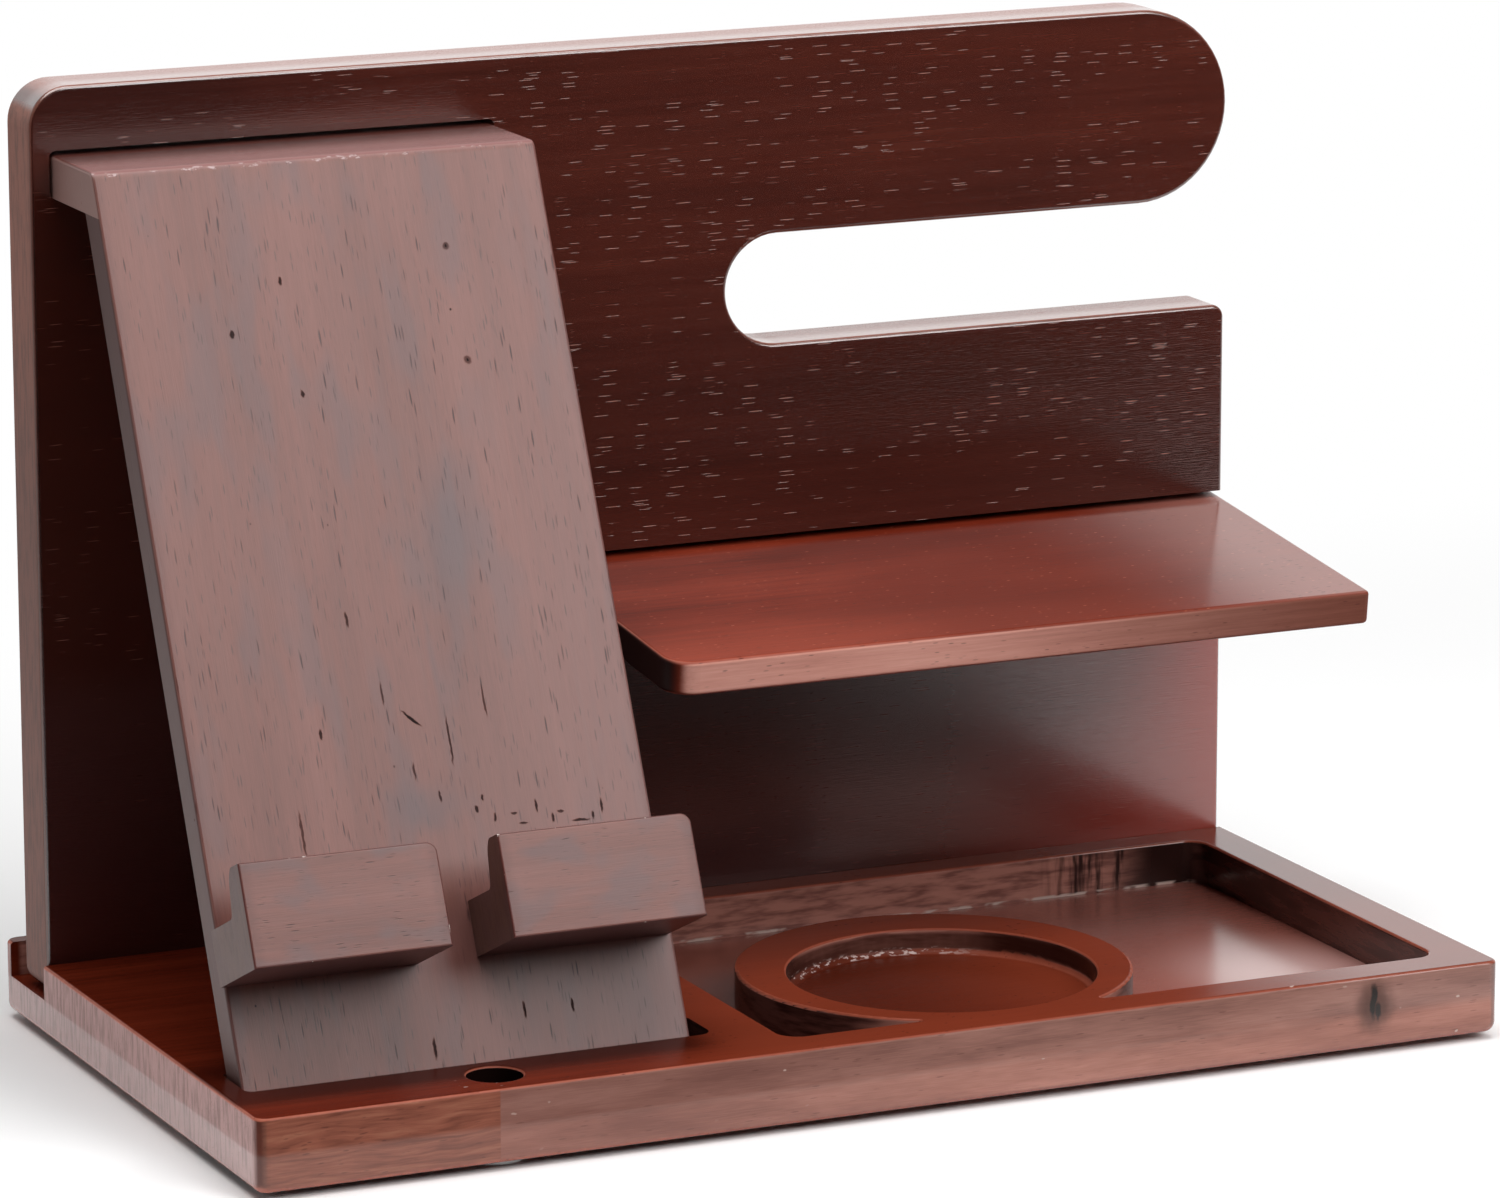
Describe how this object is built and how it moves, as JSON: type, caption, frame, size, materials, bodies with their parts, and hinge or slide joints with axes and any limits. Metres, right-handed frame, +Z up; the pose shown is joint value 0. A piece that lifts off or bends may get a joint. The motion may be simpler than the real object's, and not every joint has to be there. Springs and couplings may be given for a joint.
{
  "type": "charging station organizer",
  "caption": "Wooden desk dock with a leaning phone stand, a sliding wallet shelf, a key slot and a grooved base with a tray and a round dish.",
  "frame": {"origin": "on the plane that the pads stand on, under the middle of the base", "axes": "+X to the user's right along the base, +Y to the back, +Z up"},
  "size_m": [0.302, 0.162, 0.2194],
  "materials": {
    "base_wood": "red-brown stain under satin varnish",
    "panel_wood": "dark red-brown stain, satin, open pores",
    "shelf_wood": "red-brown stain under satin varnish",
    "stand_wood": "mauve-brown stain, satin",
    "dowel_wood": "bare beech",
    "screw_steel": "zinc plated",
    "pad_rubber": "matt black"
  },
  "bodies": {
    "base": {"base_board": "base_wood", "foot_pad_front_left": "pad_rubber", "foot_pad_front_right": "pad_rubber", "foot_pad_rear_left": "pad_rubber", "foot_pad_rear_right": "pad_rubber", "panel_dowel_left": "dowel_wood", "panel_dowel_right": "dowel_wood"},
    "back": {"back_panel": "panel_wood", "phone_plank": "stand_wood", "plank_cap": "stand_wood", "cap_dowel_left": "dowel_wood", "cap_dowel_right": "dowel_wood", "left_phone_hook": "stand_wood", "right_phone_hook": "stand_wood", "left_hook_screw_outer": "screw_steel", "left_hook_screw_inner": "screw_steel", "right_hook_screw_outer": "screw_steel", "right_hook_screw_inner": "screw_steel"},
    "shelf": {"wallet_shelf": "shelf_wood"}
  },
  "joints": [
    {"name": "back_lift", "type": "slide", "parent": "base", "child": "back", "axis": [0, 0, 1], "range_m": [0, 0.04]},
    {"name": "shelf_slide", "type": "slide", "parent": "back", "child": "shelf", "axis": [1, 0, 0], "range_m": [0, 0.18]}
  ]
}
